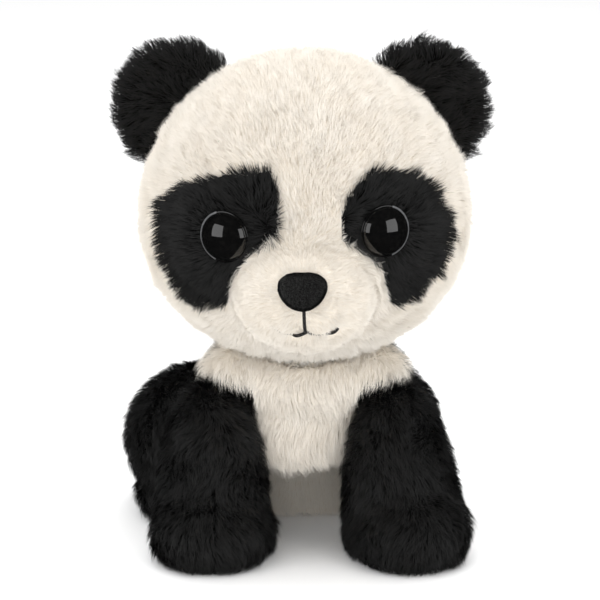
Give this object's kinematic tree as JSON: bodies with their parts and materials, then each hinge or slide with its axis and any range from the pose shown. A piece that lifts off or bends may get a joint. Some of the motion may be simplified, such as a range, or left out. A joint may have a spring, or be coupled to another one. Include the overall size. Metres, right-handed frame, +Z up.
{
  "type": "plush panda",
  "caption": "Sitting plush panda with a large round head, black ears, eye patches and legs, a white chest and glossy safety eyes.",
  "frame": {"origin": "on the floor under the middle of the whole panda", "axes": "+Z up, the face looks along -Y, and the panda's own left is +X"},
  "size_m": [0.1264, 0.1356, 0.1735],
  "materials": {
    "white_plush": "long soft pile",
    "black_plush": "long soft pile",
    "stuffing": "loose polyester fibre",
    "cotton": "plain woven",
    "eye_plastic": "glossy",
    "flocked_plastic": "flocked",
    "washer_plastic": "moulded",
    "black_thread": "twisted thread"
  },
  "bodies": {
    "torso": {"chest_panel": "white_plush", "shoulder_panel": "black_plush", "rump_panel_left": "white_plush", "rump_panel_right": "white_plush", "seat_panel": "white_plush", "body_stuffing": "stuffing", "pellet_bag": "cotton"},
    "neck": {"neck_stuffing": "stuffing"},
    "head": {"face_panel": "white_plush", "eye_patch_left": "black_plush", "eye_patch_right": "black_plush", "head_back_left": "white_plush", "head_back_right": "white_plush", "head_stuffing": "stuffing", "eye_left": "eye_plastic", "eye_right": "eye_plastic", "eye_washer_left": "washer_plastic", "eye_washer_right": "washer_plastic", "muzzle_skin": "white_plush", "muzzle_stuffing": "stuffing", "nose": "flocked_plastic", "nose_washer": "washer_plastic", "mouth_stitch_centre": "black_thread", "mouth_stitch_left": "black_thread", "mouth_stitch_right": "black_thread"},
    "ear_left": {"ear_left_front": "black_plush", "ear_left_back": "black_plush", "ear_left_wadding": "stuffing"},
    "ear_right": {"ear_right_front": "black_plush", "ear_right_back": "black_plush", "ear_right_wadding": "stuffing"},
    "front_leg_left": {"front_leg_left_outer_panel": "black_plush", "front_leg_left_inner_panel": "black_plush", "front_leg_left_sole": "black_plush", "front_leg_left_stuffing": "stuffing"},
    "front_leg_right": {"front_leg_right_outer_panel": "black_plush", "front_leg_right_inner_panel": "black_plush", "front_leg_right_sole": "black_plush", "front_leg_right_stuffing": "stuffing"},
    "hind_leg_left": {"hind_leg_left_outer_panel": "black_plush", "hind_leg_left_inner_panel": "black_plush", "hind_leg_left_sole": "black_plush", "hind_leg_left_stuffing": "stuffing"},
    "hind_leg_right": {"hind_leg_right_outer_panel": "black_plush", "hind_leg_right_inner_panel": "black_plush", "hind_leg_right_sole": "black_plush", "hind_leg_right_stuffing": "stuffing"},
    "tail": {"tail_skin": "white_plush", "tail_stuffing": "stuffing"}
  },
  "joints": [
    {"name": "head_turn", "type": "hinge", "parent": "torso", "child": "neck", "pos_m": [0.00144, -0.00385, 0.069], "axis": [0, 0, 1], "range_deg": [-20, 20], "stiffness_Nm_per_rad": 0.4},
    {"name": "head_nod", "type": "hinge", "parent": "neck", "child": "head", "pos_m": [0.00144, -0.00385, 0.069], "axis": [1, 0, 0], "range_deg": [-8, 8], "stiffness_Nm_per_rad": 1.2},
    {"name": "ear_left_fold", "type": "hinge", "parent": "head", "child": "ear_left", "pos_m": [0.04376, 0.00415, 0.15021], "axis": [-0.581, 0, 0.8139], "range_deg": [-20, 20], "stiffness_Nm_per_rad": 0.05},
    {"name": "ear_right_fold", "type": "hinge", "parent": "head", "child": "ear_right", "pos_m": [-0.04088, 0.00415, 0.15021], "axis": [0.581, 0, 0.8139], "range_deg": [-20, 20], "stiffness_Nm_per_rad": 0.05},
    {"name": "front_leg_left_swing", "type": "hinge", "parent": "torso", "child": "front_leg_left", "pos_m": [0.03244, -0.00985, 0.046], "axis": [-1, 0, 0], "range_deg": [-5, 25], "stiffness_Nm_per_rad": 0.4},
    {"name": "front_leg_right_swing", "type": "hinge", "parent": "torso", "child": "front_leg_right", "pos_m": [-0.02956, -0.00985, 0.046], "axis": [-1, 0, 0], "range_deg": [-5, 25], "stiffness_Nm_per_rad": 0.4},
    {"name": "hind_leg_left_lift", "type": "hinge", "parent": "torso", "child": "hind_leg_left", "pos_m": [0.01942, 0.05233, 0.018], "axis": [-0.9877, -0.1564, 0], "range_deg": [-3, 12], "stiffness_Nm_per_rad": 0.5},
    {"name": "hind_leg_right_lift", "type": "hinge", "parent": "torso", "child": "hind_leg_right", "pos_m": [-0.0353, 0.04367, 0.018], "axis": [-0.9877, -0.1564, 0], "range_deg": [-3, 12], "stiffness_Nm_per_rad": 0.5},
    {"name": "tail_lift", "type": "hinge", "parent": "torso", "child": "tail", "pos_m": [-0.00887, 0.05393, 0.024], "axis": [0.9877, 0.1564, 0], "range_deg": [-15, 15], "stiffness_Nm_per_rad": 0.03}
  ]
}
